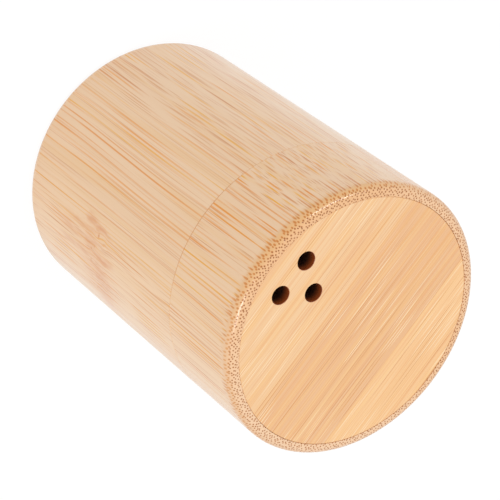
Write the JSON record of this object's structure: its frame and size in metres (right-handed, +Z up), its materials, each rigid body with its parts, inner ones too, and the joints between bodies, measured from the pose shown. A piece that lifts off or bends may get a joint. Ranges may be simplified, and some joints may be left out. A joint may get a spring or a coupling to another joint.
{
  "type": "toothpick dispenser",
  "caption": "Round bamboo box with a pull-off lid whose inset board has small holes near its rim, through which toothpicks are shaken out.",
  "frame": {"origin": "centre of the foot, on the surface that the dispenser stands on", "axes": "+Z up along the culm's axis, -Y towards the side of the lid that has the holes, +X along the grain of the boards"},
  "size_m": [0.06, 0.06, 0.083],
  "materials": {
    "culm": "turned bamboo culm, fibres along its length, sanded and clear lacquered",
    "board_light": "pale bamboo strip, straight grain, sanded and clear lacquered",
    "board_tan": "tan bamboo strip, straight grain, sanded and clear lacquered",
    "board_yellow": "yellowish bamboo strip, straight grain, sanded and clear lacquered"
  },
  "bodies": {
    "body": {"body_tube": "culm", "base_board_front_strip": "board_tan", "base_board_middle_strip": "board_light", "base_board_back_strip": "board_yellow"},
    "lid": {"lid_ring": "culm", "lid_board_front_strip": "board_light", "lid_board_middle_strip": "board_tan", "lid_board_back_strip": "board_yellow"}
  },
  "joints": [
    {"name": "lid_lift", "type": "slide", "parent": "body", "child": "lid", "axis": [0, 0, 1], "range_m": [0, 0.04]}
  ]
}
